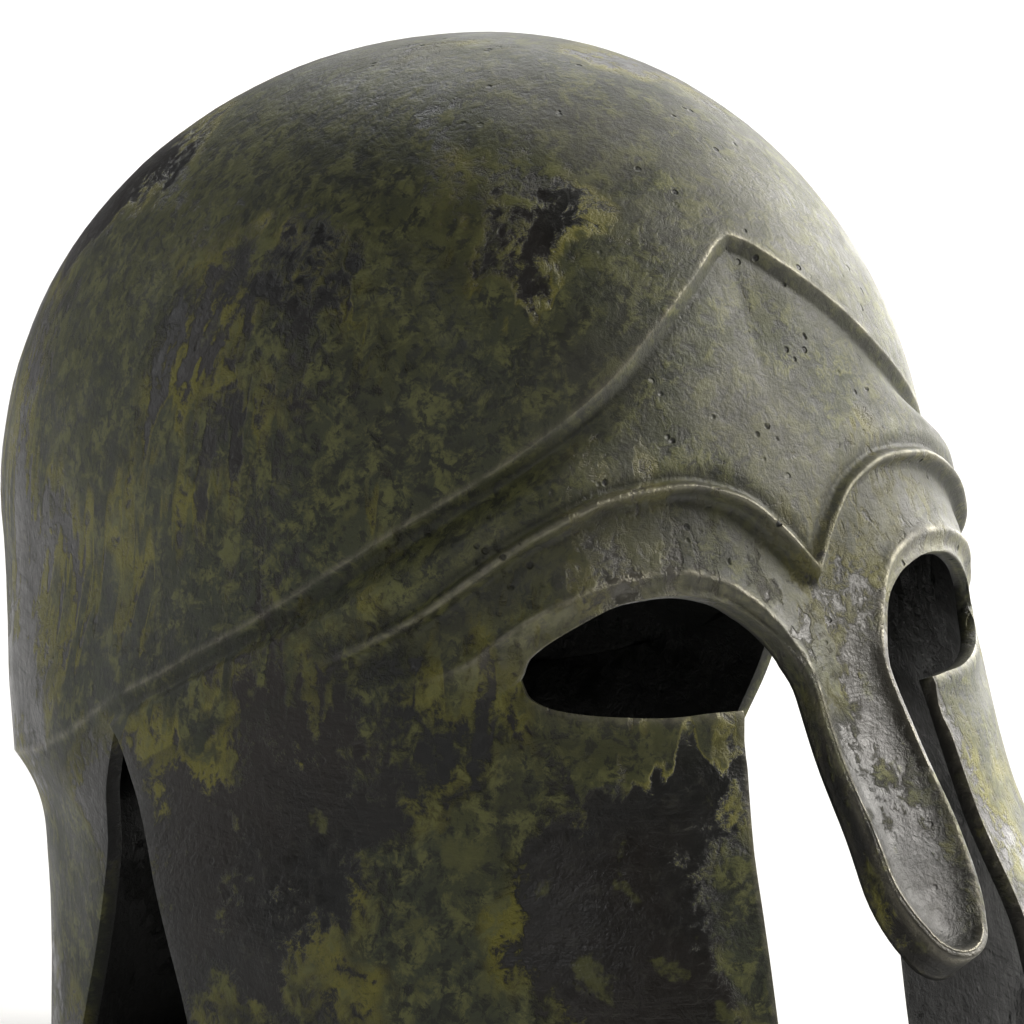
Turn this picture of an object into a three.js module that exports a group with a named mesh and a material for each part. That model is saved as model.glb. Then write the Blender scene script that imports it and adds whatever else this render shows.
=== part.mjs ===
// Corinthian helmet: one cast bronze shell, open at the eyes, the face, the ears and below.
// Millimetres, +Z up, the face looks along -Y, the wearer's left is +X. The shell stands on
// the lower edges of its two cheekpieces and of its neck guard, which lie in the plane z = 0.
//
// The right half is the mirror of the left. Each skin is a set of grids that share their
// seams: skull, brow (with the nose piece), cheek and nape. "turn" is the angle round the
// helmet in degrees, 0 at the nose and 180 at the nape, and z is the height.

import * as THREE from 'three';

// ---- driving sizes ------------------------------------------------------------------------

const WALL = 3.6;              // thickness of the casting
const STEP_AT_PEAK = 2.0;      // how far the skull stands proud of the forehead, at the peak
const STEP_AT_EAR = 0.8;       // and where it runs out above the ear
const STEP_SLOPE = 2.8;        // width of the sloping wall of that step
const RIDGE_HEIGHT = 1.2;      // raised bead over the eyes
const RIDGE_HALF = 2.1;        // half the width of that bead
const RIDGE_GROOVE = 0.4;      // shallow groove above the bead
const SOCKET_DEPTH = 1.2;      // the eye surround lies this far below the forehead
const DISH_DEPTH = 2.2;        // hollow down the middle of the nose piece
const DISH_AT_BROWS = 1.3;     // and its depth where it runs out between the brows
const NAPE_COVE = 20;          // height over which the skull draws in to the neck guard
const NAPE_COVE_POWER = 2.2;   // how sharply it draws in just under the corner
const NAPE_EASE = 40;          // height over which the columns of the neck guard spread
const EDGE_BAND = 1.6;         // flat band behind the deep sides of the nose piece
const EDGE_ROUND = 0.1;        // share of that depth taken by the rounded front of the edge
const RIDGE_FADE = [46, 63];   // turns between which the bead dies away
const RIM_FADE = [41, 49];     // and the sunk surround of the eye
const STEP_FADE = [5, 80];     // and the step turns from its full height to the low one

const MIDDLE_Y = 10;           // centre of the level sections of face and nape

// Skull: an egg with its axis leaning back, and a nearly upright skirt under its widest level.
const skullForm = {
  halfWidth: 92, front: 107, back: 148, height: 107.5,
  centreY: 6.5, centreZ: 151, lean: THREE.MathUtils.degToRad(6.6),
  skirtFlare: 7, skirtTuck: 7, skirtDepth: 42,
};

// Level sections of the face: where the middle line would run, the half width, and how much
// fuller than an ellipse the section is at 45 degrees.
const faceLevels = [
  { z: 0, front: -150, half: 104, full: 0.03 },
  { z: 40, front: -149, half: 106, full: 0.03 },
  { z: 71, front: -142, half: 105.5, full: 0.018 },
  { z: 100, front: -127.5, half: 100.5, full: 0.006 },
  { z: 127, front: -116.5, half: 97.5, full: 0.006 },
  { z: 140, front: -110.9, half: 96, full: 0.02 },
  { z: 153, front: -104.5, half: 94.5, full: 0.045 },
  { z: 172, front: -97, half: 92.5, full: 0.05 },
  { z: 193, front: -87.2, half: 87, full: 0.03 },
  { z: 217, front: -76.1, half: 78, full: 0.02 },
  { z: 226, front: -71.5, half: 72, full: 0.02 },
];

// Profile of the nose piece, which leans out in front of the face.
const noseLine = [
  { z: 70, y: -160 },
  { z: 79, y: -153 },
  { z: 92, y: -143.5 },
  { z: 104, y: -135.7 },
  { z: 116, y: -126.5 },
  { z: 128, y: -118.7 },
  { z: 140, y: -112 },
  { z: 153, y: -104.5 },
];
const NOSE_FLAT = 13;          // half width over which the face follows the nose line
const NOSE_FADE = 9;           // and the width over which that dies away

// Level sections of the neck guard.
const napeLevels = [
  { z: 0, back: 130, half: 91 },
  { z: 20, back: 128, half: 91.5 },
  { z: 54, back: 125, half: 92.5 },
  { z: 78, back: 126, half: 94 },
  { z: 99, back: 128, half: 98 },
  { z: 125, back: 130, half: 99 },
];

// The step between skull and face: height above the skull's widest level, in its own lean.
const stepLine = [
  { turn: 0, rise: 61.6 },
  { turn: 3, rise: 59.9 },
  { turn: 9, rise: 54 },
  { turn: 18, rise: 43.9 },
  { turn: 27, rise: 32.4 },
  { turn: 41, rise: 17.7 },
  { turn: 55, rise: 5 },
  { turn: 67, rise: -6.5 },
  { turn: 76, rise: -15 },
  { turn: 86, rise: -23 },
  { turn: 96, rise: -31.5 },
  { turn: 108, rise: -43 },
  { turn: 122, rise: -50 },
  { turn: 150, rise: -55 },
  { turn: 180, rise: -56 },
];

// From the tip of the nose piece to the outer corner of the eye, and on to the ear slit:
// the middle line or brow ridge, the rim round the opening, and the opening's own edge,
// with how far that edge lies behind the face. "step" is the turn of the step line above.
const browStations = [
  { brow: [0, 87], rim: [0, 79], edge: [0, 77.8], deep: 9.5 },
  { brow: [0, 93], rim: [4.2, 84], edge: [4.8, 83.2], deep: 9.3 },
  { brow: [0, 104], rim: [6.4, 96], edge: [7, 95.8], deep: 8.6 },
  { brow: [0, 122], rim: [6.5, 115.5], edge: [7.1, 115.5], deep: 6.6 },
  { brow: [0, 140], rim: [6, 131.5], edge: [6.7, 131.2], deep: 6.2 },
  { brow: [0, 153], rim: [8.2, 141.8], edge: [9.3, 140.7], deep: 6, step: 0 },
  { brow: [4.8, 162.6], rim: [11.4, 148.8], edge: [12.8, 146.6], deep: 4.6, step: 6 },
  { brow: [10, 169.3], rim: [15.9, 153.7], edge: [17, 150], deep: 3, step: 12 },
  { brow: [18, 172.6], rim: [21.5, 155.6], edge: [22, 151.3], deep: 2.2, step: 19 },
  { brow: [26.5, 171.2], rim: [28, 154.5], edge: [27.5, 150.3], deep: 2, step: 27 },
  { brow: [37, 164], rim: [36.2, 149.6], edge: [34.8, 144.9], deep: 2, step: 36 },
  { brow: [46.5, 153], rim: [43.3, 142.2], edge: [40.4, 138.2], deep: 1.5, step: 45 },
  { brow: [52, 146], rim: [46.5, 137.5], edge: [41.6, 134.2], deep: 1, step: 51 },
  { brow: [62, 136], rim: [57, 129], edge: [53, 124.5], deep: 0, step: 62 },
  { brow: [76, 123.5], rim: [72.5, 115.5], edge: [69.5, 110.5], deep: 0, step: 78 },
  { brow: [91.2, 105.5], rim: [88.6, 98.5], edge: [86.6, 91.5], deep: 0, step: 96 },
];
const NOSE_STATIONS = 5;       // stations from the tip to the point between the brows
const EYE_STATIONS = 7;        // from there to the outer corner of the eye
const TAIL_STATIONS = 3;       // from there to the ear slit

// Edges of the cheekpiece.
const eyeLowerEdge = [
  { turn: 16.1, z: 127.3 },
  { turn: 20, z: 127.2 },
  { turn: 26.2, z: 126.6 },
  { turn: 33.2, z: 127.1 },
  { turn: 38.6, z: 128.5 },
  { turn: 41, z: 130.9 },
  { turn: 41.6, z: 134.2 },
];
const cheekFrontEdge = [
  { turn: 27.5, z: 0 },
  { turn: 23.3, z: 4 },
  { turn: 21.6, z: 14 },
  { turn: 21, z: 35 },
  { turn: 20.3, z: 70 },
  { turn: 18.5, z: 98 },
  { turn: 16.9, z: 117.7 },
  { turn: 16.1, z: 127.3 },
];
const cheekRearEdge = [
  { turn: 69, z: 0 },
  { turn: 73.6, z: 4 },
  { turn: 76, z: 14 },
  { turn: 80, z: 52 },
  { turn: 82.9, z: 72.4 },
  { turn: 84.9, z: 83.3 },
  { turn: 87.3, z: 93.9 },
  { turn: 89.6, z: 101.7 },
  { turn: 92, z: 108.3 },
  { turn: 93.6, z: 111 },
];
const napeFrontEdge = [
  { turn: 116, z: 0 },
  { turn: 113, z: 18 },
  { turn: 108.5, z: 38 },
  { turn: 104.5, z: 54 },
  { turn: 99.5, z: 78 },
  { turn: 95.8, z: 99 },
  { turn: 93.6, z: 111 },
];

// ---- smooth reading of the tables ---------------------------------------------------------

const mix = THREE.MathUtils.lerp;
const radians = THREE.MathUtils.degToRad;
const fade = THREE.MathUtils.smoothstep;      // 0 at the first limit, 1 at the second

// Returns a function that runs smoothly, without overshoot, through read(row) against at(row).
function through(rows, at, read) {
  const x = rows.map(at);
  const y = rows.map(read);
  const last = rows.length - 1;
  const slope = x.slice(1).map((_, i) => (y[i + 1] - y[i]) / (x[i + 1] - x[i]));
  const tangent = y.map((_, i) => {
    if (i === 0) return slope[0];
    if (i === last) return slope[last - 1];
    const product = slope[i - 1] * slope[i];
    return product <= 0 ? 0 : (2 * product) / (slope[i - 1] + slope[i]);
  });
  return (place) => {
    if (place <= x[0]) return y[0] + (place - x[0]) * tangent[0];
    if (place >= x[last]) return y[last] + (place - x[last]) * tangent[last];
    const i = x.findIndex((limit) => limit > place) - 1;
    const gap = x[i + 1] - x[i];
    const t = (place - x[i]) / gap;
    const bend = gap * t * (1 - t) * ((1 - t) * tangent[i] - t * tangent[i + 1]);
    return mix(y[i], y[i + 1], t * t * (3 - 2 * t)) + bend;
  };
}

const faceFront = through(faceLevels, (row) => row.z, (row) => row.front);
const faceHalf = through(faceLevels, (row) => row.z, (row) => row.half);
const faceFull = through(faceLevels, (row) => row.z, (row) => row.full);
const noseY = through(noseLine, (row) => row.z, (row) => row.y);
const napeBack = through(napeLevels, (row) => row.z, (row) => row.back);
const napeHalf = through(napeLevels, (row) => row.z, (row) => row.half);
const stepRise = through(stepLine, (row) => row.turn, (row) => row.rise);
const napeEdgeTurn = through(napeFrontEdge, (row) => row.z, (row) => row.turn);

// ---- the forms that the surfaces follow ---------------------------------------------------

function skullPoint(turn, rise) {
  const form = skullForm;
  const [side, ahead] = [Math.sin(radians(turn)), Math.cos(radians(turn))];
  const shrink = rise > 0 ? Math.sqrt(Math.max(0, 1 - (rise / form.height) ** 2)) : 1;
  const skirt = fade(-rise, 0, form.skirtDepth);
  const reach = ahead > 0 ? form.front * shrink : form.back * shrink - form.skirtTuck * skirt;
  const along = -reach * ahead;
  return new THREE.Vector3(
    (form.halfWidth * shrink + form.skirtFlare * skirt) * side,
    form.centreY + along * Math.cos(form.lean) + rise * Math.sin(form.lean),
    form.centreZ + rise * Math.cos(form.lean) - along * Math.sin(form.lean),
  );
}

function facePoint(turn, z) {
  const angle = radians(turn);
  const full = 1 + faceFull(z) * Math.sin(2 * angle) ** 2;
  const x = faceHalf(z) * Math.sin(angle) * full;
  const y = MIDDLE_Y + (faceFront(z) - MIDDLE_Y) * Math.cos(angle) * full;
  const lead = Math.max(0, faceFront(z) - noseY(z));
  return new THREE.Vector3(x, y - lead * (1 - fade(x, NOSE_FLAT, NOSE_FLAT + NOSE_FADE)), z);
}

function napePoint(turn, z) {
  const angle = radians(turn);
  const y = MIDDLE_Y - (napeBack(z) - MIDDLE_Y) * Math.cos(angle);
  return new THREE.Vector3(napeHalf(z) * Math.sin(angle), y, z);
}

// Outward normal of a form that is a function of the turn and of a height.
function normalOf(form, turn, height) {
  const [dTurn, dHeight] = [0.05, 0.05];
  const round = form(turn + dTurn, height).sub(form(turn - dTurn, height));
  const up = form(turn, height + dHeight).sub(form(turn, height - dHeight));
  const normal = round.cross(up).normalize();
  if (turn === 0 || turn === 180) normal.setX(0).normalize();
  return normal;
}

// ---- places on the shell ------------------------------------------------------------------
// A place is a pair of points, one on the outer skin and one on the inner skin.

function place(outer, normal, thickness) {
  const inner = outer.clone().addScaledVector(normal, -thickness);
  if (outer.z === 0) inner.z = 0;
  return { outer, inner };
}

function facePlace(turn, z, relief = 0, thickness = WALL) {
  const normal = normalOf(facePoint, turn, z);
  const base = facePoint(turn, z);
  const inner = base.clone().addScaledVector(normal, -thickness);
  if (z === 0) inner.z = 0;
  return { outer: base.addScaledVector(normal, relief), inner, turn, z };
}

// A point beside a line on the face, at a distance in millimetres square to the line.
function beside(line, at, distance) {
  const [turn, z] = line(at);
  const delta = 0.02;
  const [nextTurn, nextZ] = line(at + delta);
  const around = facePoint(turn + 0.5, z).distanceTo(facePoint(turn - 0.5, z));
  const upward = facePoint(turn, z + 0.5).distanceTo(facePoint(turn, z - 0.5));
  const [run, climb] = [(nextTurn - turn) * around, (nextZ - z) * upward];
  const length = Math.hypot(run, climb);
  if (turn === 0) return [0, z + (distance * length) / run / upward];
  return [turn - (distance * climb) / length / around, z + (distance * run) / length / upward];
}

// ---- lines through the stations -----------------------------------------------------------

const CORNER = NOSE_STATIONS + EYE_STATIONS;       // station at the outer corner of the eye
const SLIT = CORNER + TAIL_STATIONS;               // station at the ear slit
const stationRows = browStations.map((station, index) => ({ index, ...station }));
const alongStations = (read) => through(stationRows, (row) => row.index, read);
const archRows = stationRows.slice(NOSE_STATIONS);
const alongArch = (read) => through(archRows, (row) => row.index, read);

const noseRows = stationRows.slice(0, NOSE_STATIONS + 1);
const spineZ = through(noseRows, (row) => row.index, (row) => row.brow[1]);
const browTurn = alongArch((row) => row.brow[0]);
const browZ = alongArch((row) => row.brow[1]);
const stepTurn = alongArch((row) => row.step);
const rimTurn = alongStations((row) => row.rim[0]);
const rimZ = alongStations((row) => row.rim[1]);
const edgeTurn = alongStations((row) => row.edge[0]);
const edgeZ = alongStations((row) => row.edge[1]);
const edgeDeep = alongStations((row) => row.deep);

const browLine = (at) => [browTurn(at), browZ(at)];
const thicknessAt = (at) => Math.max(WALL, edgeDeep(at) + EDGE_BAND);
const rearEdgeTurn = through(cheekRearEdge, (row) => row.z, (row) => row.turn);
const frontEdgeTurn = through(cheekFrontEdge, (row) => row.z, (row) => row.turn);
const lowerEyeRows = eyeLowerEdge.map((row, index) => ({ index, ...row }));
const lowerEyeTurn = through(lowerEyeRows, (row) => row.index, (row) => row.turn);
const lowerEyeZ = through(lowerEyeRows, (row) => row.index, (row) => row.z);

// ---- grids --------------------------------------------------------------------------------

const NOSE_COLUMNS = 9;
const EYE_COLUMNS = 14;
const TAIL_COLUMNS = 7;
const NAPE_COLUMNS = 10;
const LOWER_EYE_COLUMNS = 9;
const SKULL_ROWS = 12;
const ARCH_ROWS = 13;          // places in a column from the step down to the edge of the eye
const BEAD_FOOT = 7;           // the place in it that is the lower foot of the bead
const COVE_ROWS = 2;           // places of the neck guard that it shares with the slit's top
const panelShares = [0.12, 0.4, 0.7];      // places down the panel, from the step to the bead
const rimShares = [0.45, 0.82];            // places between the bead, or spine, and the rim
const cheekShares = [0, 0.1, 0.2, 0.31, 0.42, 0.53, 0.64, 0.75, 0.85, 0.92, 0.97, 1];
const napeShares = [0, 0.02, 0.055, 0.09, 0.13, 0.18, 0.24, 0.31, 0.4, 0.5, 0.62, 0.75, 0.88, 1];

const noseAts = Array.from({ length: NOSE_COLUMNS }, (_, i) => (i * NOSE_STATIONS) / NOSE_COLUMNS);
const archAts = [
  ...Array.from({ length: EYE_COLUMNS }, (_, i) => NOSE_STATIONS + (i * EYE_STATIONS) / EYE_COLUMNS),
  ...Array.from({ length: TAIL_COLUMNS + 1 }, (_, i) => CORNER + (i * TAIL_STATIONS) / TAIL_COLUMNS),
];

// The step's upper edge on the skull, and its foot on the face side.
function stepEdge(turn) {
  return place(skullPoint(turn, stepRise(turn)), normalOf(skullPoint, turn, stepRise(turn)), WALL);
}

function stepFoot(turn) {
  const edge = skullPoint(turn, stepRise(turn));
  const normal = normalOf(skullPoint, turn, stepRise(turn));
  const next = skullPoint(turn + 0.2, stepRise(turn + 0.2)).sub(edge).normalize();
  const down = next.clone().cross(normal).normalize();
  if (turn === 0) down.set(0, down.y, down.z).divideScalar(down.y ** 2 + down.z ** 2);
  const depth = mix(STEP_AT_PEAK, STEP_AT_EAR, fade(turn, ...STEP_FADE));
  const outer = edge.addScaledVector(normal, -depth).addScaledVector(down, STEP_SLOPE);
  return place(outer, normal, WALL);
}

// The turn, in the level sections of the face, at which a point lies.
function turnOnFace({ x, y, z }) {
  return THREE.MathUtils.radToDeg(
    Math.atan2(x / faceHalf(z), (y - MIDDLE_Y) / (faceFront(z) - MIDDLE_Y)),
  );
}

// One column of the forehead: step edge, foot, panel, and the bead down to its lower foot.
function foreheadColumn(at) {
  const stepAt = stepTurn(at);
  const foot = stepFoot(stepAt);
  const footTurn = turnOnFace(foot.outer);
  const strength = 1 - fade(browTurn(at), ...RIDGE_FADE);
  const extra = thicknessAt(at) - WALL;
  const [upTurn, upZ] = beside(browLine, at, RIDGE_HALF);
  const [lowTurn, lowZ] = beside(browLine, at, -RIDGE_HALF);
  const offset = foot.outer.clone().sub(facePoint(footTurn, foot.outer.z));
  const panel = panelShares.map((share) => {
    const spot = facePlace(mix(footTurn, upTurn, share), mix(foot.outer.z, upZ, share));
    const carried = 1 - fade(share, 0, panelShares[panelShares.length - 1]);
    spot.outer.addScaledVector(offset, carried);
    spot.inner.addScaledVector(offset, carried);
    return spot;
  });
  return [
    stepEdge(stepAt),
    foot,
    ...panel,
    facePlace(upTurn, upZ, -RIDGE_GROOVE * strength, WALL + extra / 4),
    facePlace(...browLine(at), RIDGE_HEIGHT * strength, WALL + extra / 2),
    facePlace(lowTurn, lowZ, -SOCKET_DEPTH * strength, WALL + (extra * 3) / 4),
  ];
}

// The rest of a column, from under the bead, or from the middle of the nose piece, outward
// to the rim and the edge of the opening.
function rimRows(at, top, topRelief) {
  const [rt, rz] = [rimTurn(at), rimZ(at)];
  const strength = 1 - fade(rt, ...RIM_FADE);
  const thickness = thicknessAt(at);
  const nose = 1 - fade(at, NOSE_STATIONS - 1, NOSE_STATIONS + 1);
  const deep = edgeDeep(at);
  const sunk = rimShares.map((share) => {
    const dished = topRelief * (1 - share ** 2);
    const relief = mix(-SOCKET_DEPTH, dished, nose) * strength;
    return facePlace(mix(top[0], rt, share), mix(top[1], rz, share), relief, thickness);
  });
  return [
    ...sunk,
    facePlace(rt, rz, 0, thickness),
    facePlace(edgeTurn(at), edgeZ(at), -EDGE_ROUND * deep, thickness),
    facePlace(edgeTurn(at), edgeZ(at), -deep, thickness),
  ];
}

const slitTop = cheekRearEdge[cheekRearEdge.length - 1];
const archGrid = archAts.map((at) => {
  if (at < SLIT) {
    const lower = beside(browLine, at, -RIDGE_HALF);
    return [...foreheadColumn(at), ...rimRows(at, lower, -SOCKET_DEPTH)];
  }
  const onEdge = Array.from({ length: ARCH_ROWS - 2 }, (_, i) => {
    const z = mix(slitTop.z, edgeZ(at), i / (ARCH_ROWS - 3));
    return facePlace(rearEdgeTurn(z), z);
  });
  return [stepEdge(stepTurn(at)), stepFoot(stepTurn(at)), ...onEdge];
});

const noseGrid = [
  ...noseAts.map((at) => {
    const dish = -mix(DISH_DEPTH, DISH_AT_BROWS, fade(at, NOSE_STATIONS - 2, NOSE_STATIONS));
    const top = [0, spineZ(at)];
    return [facePlace(...top, dish, thicknessAt(at)), ...rimRows(at, top, dish)];
  }),
  archGrid[0].slice(BEAD_FOOT),
];

// The cheekpiece is filled in from its four edges.
const cheekTop = [
  ...Array.from({ length: LOWER_EYE_COLUMNS }, (_, i) => {
    const at = (i * (eyeLowerEdge.length - 1)) / LOWER_EYE_COLUMNS;
    return facePlace(lowerEyeTurn(at), lowerEyeZ(at));
  }),
  ...archGrid.slice(EYE_COLUMNS).map((column) => column[ARCH_ROWS - 1]),
];
const cheekGrid = cheekTop.map((top, column) => {
  const across = column / (cheekTop.length - 1);
  const [first, last] = [cheekTop[0], cheekTop[cheekTop.length - 1]];
  return cheekShares.map((share) => {
    if (share === 0) return top;
    const [frontZ, rearZ] = [first.z * (1 - share), last.z * (1 - share)];
    const [frontTurn, rearTurn] = [frontEdgeTurn(frontZ), rearEdgeTurn(rearZ)];
    const topTurn = top.turn - mix(first.turn, last.turn, across);
    const sideTurn = mix(frontTurn, rearTurn, across);
    const topZ = top.z - mix(first.z, last.z, across);
    const turn = sideTurn + (1 - share) * topTurn;
    return facePlace(turn, share === 1 ? 0 : mix(frontZ, rearZ, across) + (1 - share) * topZ);
  });
});

// The neck guard hangs from the step: it draws in by a cove and then falls to its lower edge.
const slitColumn = archGrid[archGrid.length - 1];
const napeGrid = Array.from({ length: NAPE_COLUMNS + 1 }, (_, column) => {
  const across = column / NAPE_COLUMNS;
  const top = stepEdge(mix(stepTurn(SLIT), 180, across));
  const sideways = top.outer.x / napeHalf(top.outer.z);
  const backward = (top.outer.y - MIDDLE_Y) / (napeBack(top.outer.z) - MIDDLE_Y);
  const topTurn = THREE.MathUtils.radToDeg(Math.atan2(sideways, -backward));
  const proud = top.outer.clone().sub(napePoint(topTurn, top.outer.z));
  return napeShares.map((share, row) => {
    if (column === 0 && row <= COVE_ROWS) return slitColumn[row];
    if (row === 0) return top;
    if (column === 0) {
      const z = mix(slitTop.z, 0, (share - napeShares[COVE_ROWS]) / (1 - napeShares[COVE_ROWS]));
      return place(napePoint(napeEdgeTurn(z), z), normalOf(napePoint, napeEdgeTurn(z), z), WALL);
    }
    const z = top.outer.z * (1 - share);
    const drop = top.outer.z - z;
    const spread = mix(napeEdgeTurn(Math.min(z, slitTop.z)), 180, across);
    const turn = column === NAPE_COLUMNS ? 180 : mix(topTurn, spread, fade(drop, 0, NAPE_EASE));
    const cove = Math.max(0, 1 - drop / NAPE_COVE) ** NAPE_COVE_POWER;
    const outer = napePoint(turn, z).addScaledVector(proud, cove);
    return place(outer, normalOf(napePoint, turn, z), WALL);
  });
});

// The skull runs from its crown down to the step, all the way round.
const crown = place(
  skullPoint(0, skullForm.height),
  new THREE.Vector3(0, Math.sin(skullForm.lean), Math.cos(skullForm.lean)),
  WALL,
);
const skullEdges = [
  ...archGrid.map((column, i) => ({ turn: stepTurn(archAts[i]), edge: column[0] })),
  ...napeGrid.slice(1).map((column, i) => ({
    turn: mix(stepTurn(SLIT), 180, (i + 1) / NAPE_COLUMNS), edge: column[0],
  })),
];
const skullGrid = skullEdges.map(({ turn, edge }) => {
  const low = stepRise(turn) / skullForm.height;
  const lowest = low > 0 ? Math.asin(low) : low;
  return Array.from({ length: SKULL_ROWS + 1 }, (_, row) => {
    if (row === 0) return crown;
    if (row === SKULL_ROWS) return edge;
    const latitude = mix(Math.PI / 2, lowest, row / SKULL_ROWS);
    const rise = skullForm.height * (latitude > 0 ? Math.sin(latitude) : latitude);
    return place(skullPoint(turn, rise), normalOf(skullPoint, turn, rise), WALL);
  });
});

// ---- one closed body out of the grids -----------------------------------------------------

function trianglesOf(columns) {
  const found = [];
  for (let i = 0; i + 1 < columns.length; i += 1) {
    for (let j = 0; j + 1 < columns[i].length; j += 1) {
      const [a, d] = [columns[i][j], columns[i][j + 1]];
      const [b, c] = [columns[i + 1][j], columns[i + 1][j + 1]];
      found.push([a, b, c], [a, c, d]);
    }
  }
  const whole = found.filter((corners) => new Set(corners).size === 3);
  const facing = whole.reduce((sum, [a, b, c]) => {
    const face = b.outer.clone().sub(a.outer).cross(c.outer.clone().sub(a.outer));
    return sum + face.dot(a.outer.clone().sub(a.inner));
  }, 0);
  return facing > 0 ? whole : whole.map(([a, b, c]) => [a, c, b]);
}

function mirrored(triangles) {
  const twins = new Map();
  const flip = (point) => new THREE.Vector3(-point.x, point.y, point.z);
  const twin = (spot) => {
    if (Math.abs(spot.outer.x) < 1e-6) return spot;
    if (!twins.has(spot)) twins.set(spot, { outer: flip(spot.outer), inner: flip(spot.inner) });
    return twins.get(spot);
  };
  return triangles.map(([a, b, c]) => [twin(a), twin(c), twin(b)]);
}

// Outer skin, inner skin, and a wall between them along every open edge.
function shellGeometry(triangles) {
  const numbers = new Map();
  triangles.flat().forEach((spot) => {
    if (!numbers.has(spot)) numbers.set(spot, numbers.size);
  });
  const positions = [...numbers.keys()].flatMap(({ outer, inner }) => [...outer, ...inner]);
  const skin = triangles.map((corners) => corners.map((spot) => numbers.get(spot)));
  const edges = new Set(skin.flatMap(([a, b, c]) => [`${a} ${b}`, `${b} ${c}`, `${c} ${a}`]));
  const open = [...edges]
    .map((edge) => edge.split(' ').map(Number))
    .filter(([a, b]) => !edges.has(`${b} ${a}`));
  const index = [
    ...skin.flatMap(([a, b, c]) => [2 * a, 2 * b, 2 * c]),
    ...skin.flatMap(([a, b, c]) => [2 * a + 1, 2 * c + 1, 2 * b + 1]),
    ...open.flatMap(([a, b]) => [2 * b, 2 * a, 2 * a + 1, 2 * b, 2 * a + 1, 2 * b + 1]),
  ];
  const geometry = new THREE.BufferGeometry();
  geometry.setAttribute('position', new THREE.Float32BufferAttribute(positions, 3));
  geometry.setIndex(index);
  return geometry;
}

const half = [skullGrid, archGrid, noseGrid, cheekGrid, napeGrid].flatMap(trianglesOf);
const geometry = shellGeometry([...half, ...mirrored(half)]);
geometry.computeBoundingBox();
const { min, max } = geometry.boundingBox;
geometry.translate(0, -(min.y + max.y) / 2, 0);
geometry.computeVertexNormals();

const bronze = new THREE.MeshStandardMaterial({ color: 0x3a3d24, roughness: 0.55, metalness: 0.7 });
const shell = new THREE.Mesh(geometry, bronze);
shell.name = 'helmet_shell';

const helmet = new THREE.Group();
helmet.add(shell);

export default helmet;
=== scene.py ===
import math

import bmesh
import bpy
import numpy as np
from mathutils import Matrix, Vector, noise


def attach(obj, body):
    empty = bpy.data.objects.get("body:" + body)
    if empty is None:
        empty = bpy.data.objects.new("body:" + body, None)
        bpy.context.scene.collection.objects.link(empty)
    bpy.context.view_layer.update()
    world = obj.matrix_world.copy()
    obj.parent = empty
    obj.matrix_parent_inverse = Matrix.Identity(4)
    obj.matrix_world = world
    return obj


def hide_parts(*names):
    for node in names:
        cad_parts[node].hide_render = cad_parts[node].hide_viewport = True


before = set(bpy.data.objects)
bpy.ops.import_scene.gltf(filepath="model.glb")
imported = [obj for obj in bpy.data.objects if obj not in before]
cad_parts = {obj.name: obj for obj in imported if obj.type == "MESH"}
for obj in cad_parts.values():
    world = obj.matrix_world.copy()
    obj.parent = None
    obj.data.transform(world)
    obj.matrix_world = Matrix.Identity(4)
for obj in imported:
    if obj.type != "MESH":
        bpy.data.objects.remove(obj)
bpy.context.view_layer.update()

# ---- the sheet forms of the helmet --------------------------------------------------------
# A Corinthian helmet cast in bronze in one piece. The skull is a leaning egg, the face and
# the neck guard are level sections joined smoothly. Millimetres here, metres in the mesh.

WALL = 3.6
MIDDLE_Y = 10.0
HALF_WIDTH, FRONT, BACK, HEIGHT = 92.0, 107.0, 148.0, 107.5
SKULL_Y, SKULL_Z = 6.5, 151.0
LEAN = math.radians(6.6)
SKIRT_FLARE, SKIRT_TUCK, SKIRT_DEPTH = 7.0, 7.0, 42.0
NOSE_FLAT, NOSE_FADE = 13.0, 9.0

# height, where the middle line would run, half width, fullness at 45 degrees
face_levels = [
    (0, -150, 104, 0.03), (40, -149, 106, 0.03), (71, -142, 105.5, 0.018),
    (100, -127.5, 100.5, 0.006), (127, -116.5, 97.5, 0.006), (140, -110.9, 96, 0.02),
    (153, -104.5, 94.5, 0.045), (172, -97, 92.5, 0.05), (193, -87.2, 87, 0.03),
    (217, -76.1, 78, 0.02), (226, -71.5, 72, 0.02),
]
# height and depth of the middle line of the nose guard
nose_profile = [
    (70, -160), (79, -153), (92, -143.5), (104, -135.7), (116, -126.5),
    (128, -118.7), (140, -112), (153, -104.5),
]
# height, how far back, half width of the neck guard
nape_levels = [
    (0, 130, 91), (20, 128, 91.5), (54, 125, 92.5), (78, 126, 94), (99, 128, 98), (125, 130, 99),
]
# turn round the helmet, and height of the step above the skull's widest level
step_line = [
    (0, 61.6), (3, 59.9), (9, 54), (18, 43.9), (27, 32.4), (41, 17.7), (55, 5), (67, -6.5),
    (76, -15), (86, -23), (96, -31.5), (108, -43), (122, -50), (150, -55), (180, -56),
]


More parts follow.
